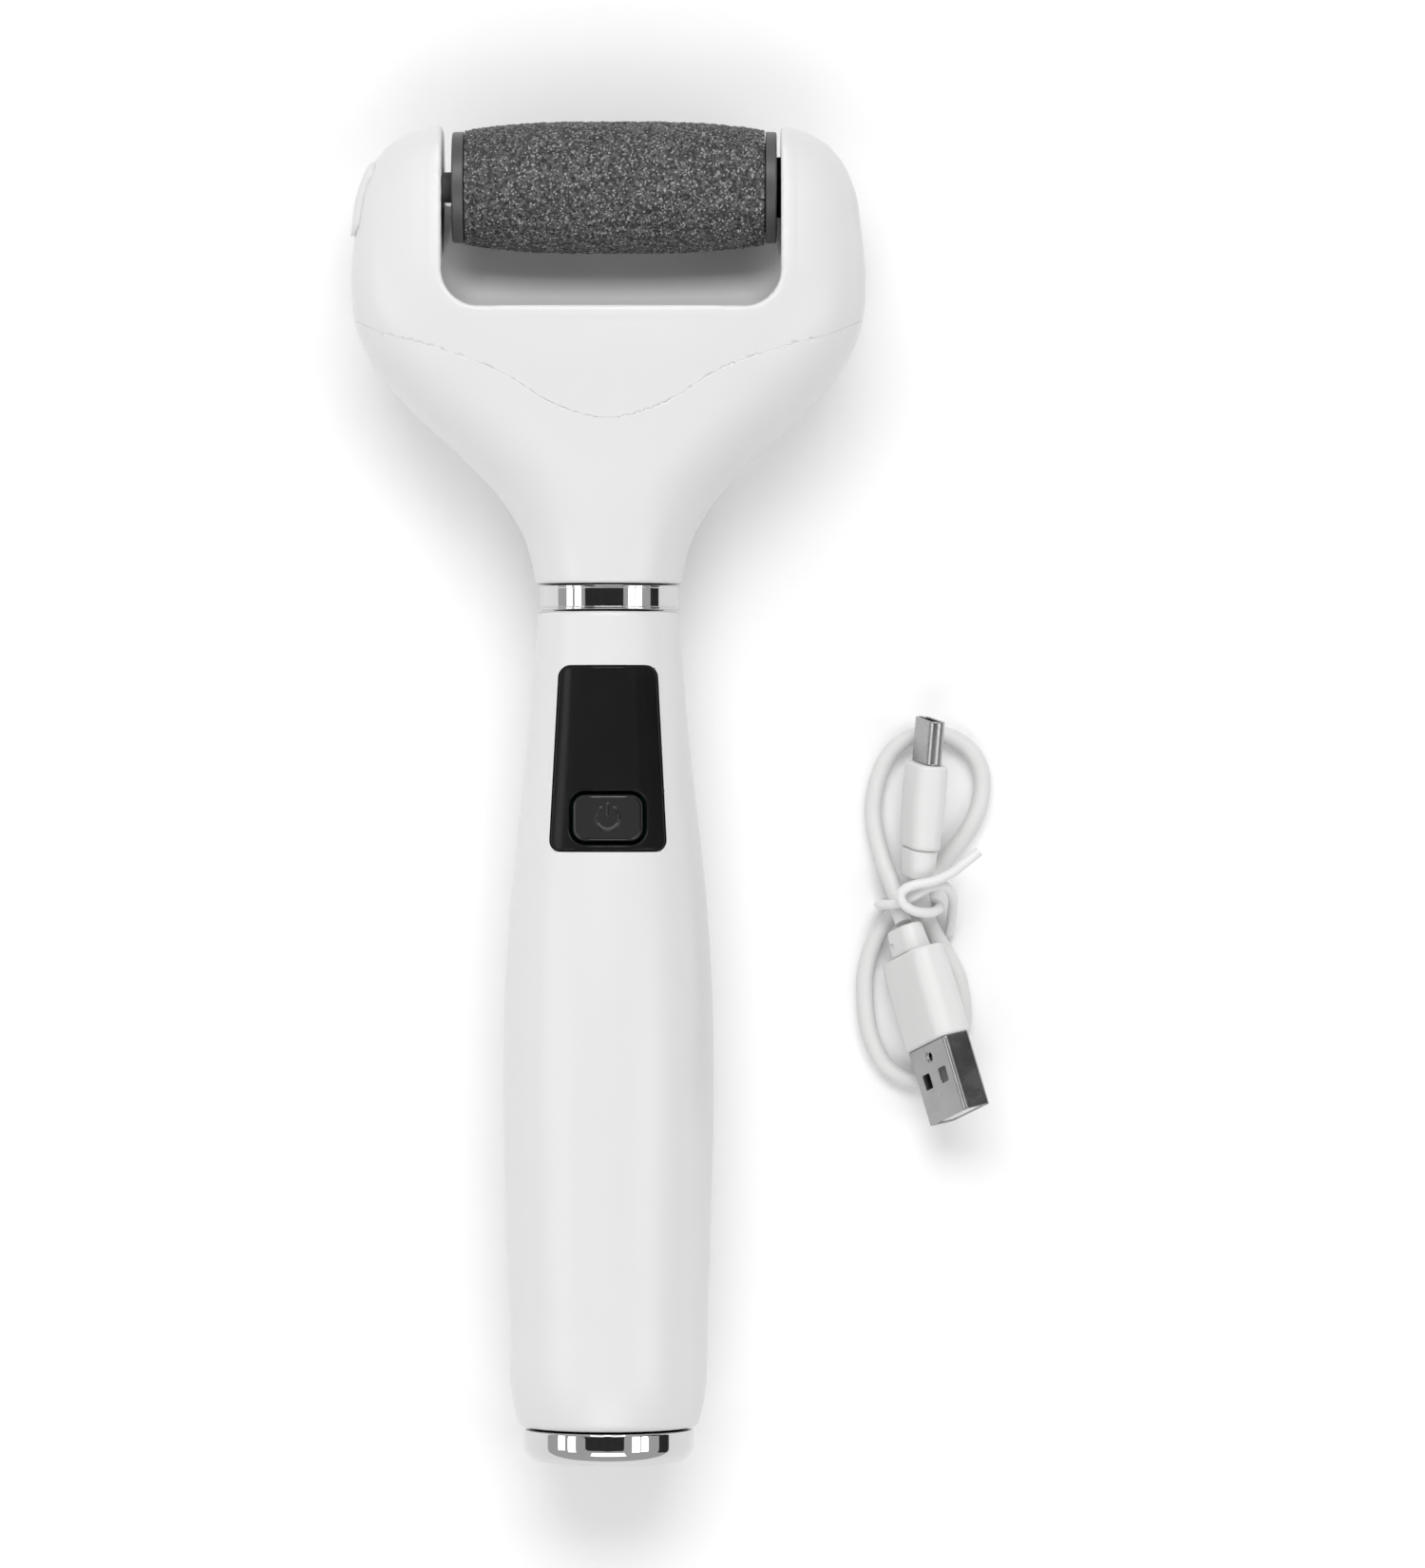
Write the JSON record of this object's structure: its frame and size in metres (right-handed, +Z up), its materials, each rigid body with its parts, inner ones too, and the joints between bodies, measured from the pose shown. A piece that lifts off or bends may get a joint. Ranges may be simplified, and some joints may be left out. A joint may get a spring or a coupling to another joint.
{
  "type": "electric callus remover",
  "caption": "Cordless foot file with a T-shaped white body, a driven abrasive roller in an open bay, chrome ring and end cap, and a coiled charging lead.",
  "frame": {"origin": "the device lies on its back; the origin is on the surface it lies on, on its plane of symmetry and half way along its length", "axes": "+X across the head to the right as the display is read, +Y along the handle towards the roller, +Z up out of the display side"},
  "size_m": [0.0965, 0.201, 0.0315],
  "materials": {
    "white_plastic": "smooth white semi-gloss ABS",
    "chrome": "bright chrome plating",
    "black_gloss": "piano-black gloss",
    "black_plastic": "black moulded plastic",
    "grit": "dark mineral grit",
    "rim_plastic": "dark grey plastic",
    "steel": "plain steel",
    "brass": "machined brass",
    "inner_plastic": "grey moulded plastic",
    "gear_plastic": "natural acetal",
    "board": "green solder mask",
    "display_glass": "dark display face",
    "battery_wrap": "blue shrink sleeve",
    "cord_white": "white moulded cable jacket",
    "tie_white": "white coated wire and plug insert"
  },
  "bodies": {
    "housing": {"head_cover": "white_plastic", "neck_shell": "white_plastic", "neck_ring": "chrome", "handle_shell": "white_plastic", "end_cap": "chrome", "display_window": "black_gloss", "left_bearing_plate": "black_plastic", "right_bearing_plate": "black_plastic", "gear_plate": "inner_plastic", "lower_gear_pin": "steel", "upper_gear_pin": "steel", "motor": "steel", "motor_cradle": "inner_plastic", "lever_pivot_pin": "steel", "battery": "battery_wrap", "battery_spring": "steel", "battery_contact": "brass", "chassis": "inner_plastic", "main_board": "board", "controller_chip": "black_plastic", "display_module": "display_glass", "power_switch": "black_plastic", "charging_board": "board", "charging_socket": "steel", "left_board_screw": "steel", "right_board_screw": "steel"},
    "power_button": {"power_button": "black_gloss"},
    "release_button": {"release_button": "white_plastic", "release_spring": "steel"},
    "release_lever": {"release_lever": "inner_plastic"},
    "release_pin": {"release_pin": "steel"},
    "roller": {"roller_core": "black_plastic", "abrasive_sleeve": "grit", "left_rim": "rim_plastic", "right_rim": "rim_plastic", "drive_hub": "black_plastic", "drive_gear": "gear_plastic"},
    "upper_idler": {"upper_idler_gear": "gear_plastic"},
    "lower_idler": {"lower_idler_gear": "gear_plastic"},
    "pinion": {"motor_pinion": "brass"},
    "charging_lead": {"charging_cord": "cord_white", "cord_tie": "tie_white", "usb_c_shell": "steel", "usb_c_overmould": "cord_white", "usb_c_strain_relief": "cord_white", "usb_a_shell": "steel", "usb_a_overmould": "cord_white", "usb_a_strain_relief": "cord_white", "usb_a_tongue": "tie_white"}
  },
  "joints": [
    {"name": "power_press", "type": "slide", "parent": "housing", "child": "power_button", "axis": [0, 0, -1], "range_m": [0, 0.0004], "stiffness_N_per_m": 800, "springref_m": -0.0002},
    {"name": "release_press", "type": "slide", "parent": "housing", "child": "release_button", "axis": [1, 0, 0], "range_m": [0, 0.0014], "stiffness_N_per_m": 600, "deforming": ["release_spring"]},
    {"name": "lever_rock", "type": "hinge", "parent": "housing", "child": "release_lever", "pos_m": [-0.0298, 0.084, 0.0142], "axis": [0, 0, 1], "range_deg": [0, 14.6]},
    {"name": "pin_retract", "type": "slide", "parent": "housing", "child": "release_pin", "axis": [-1, 0, 0], "range_m": [0, 0.00166]},
    {"name": "roller_spin", "type": "hinge", "parent": "housing", "child": "roller", "pos_m": [0, 0.0906, 0.0185], "axis": [1, 0, 0], "continuous": true},
    {"name": "upper_idler_spin", "type": "hinge", "parent": "housing", "child": "upper_idler", "pos_m": [0.0291, 0.08229, 0.01696], "axis": [1, 0, 0], "continuous": true},
    {"name": "lower_idler_spin", "type": "hinge", "parent": "housing", "child": "lower_idler", "pos_m": [0.0291, 0.07265, 0.01348], "axis": [1, 0, 0], "continuous": true},
    {"name": "motor_spin", "type": "hinge", "parent": "housing", "child": "pinion", "pos_m": [0.0291, 0.0636, 0.0135], "axis": [1, 0, 0], "continuous": true},
    {"name": "charging_lead_lift", "type": "slide", "parent": "housing", "child": "charging_lead", "axis": [0, 0, 1], "range_m": [0, 0.06]}
  ],
  "couplings": [
    {"joint": "lever_rock", "follows": "release_press", "rad_per_m": 180.76},
    {"joint": "pin_retract", "follows": "release_press", "ratio": 1.178},
    {"joint": "upper_idler_spin", "follows": "roller_spin", "ratio": -1},
    {"joint": "lower_idler_spin", "follows": "roller_spin", "ratio": 0.7},
    {"joint": "motor_spin", "follows": "roller_spin", "ratio": -1.4}
  ]
}
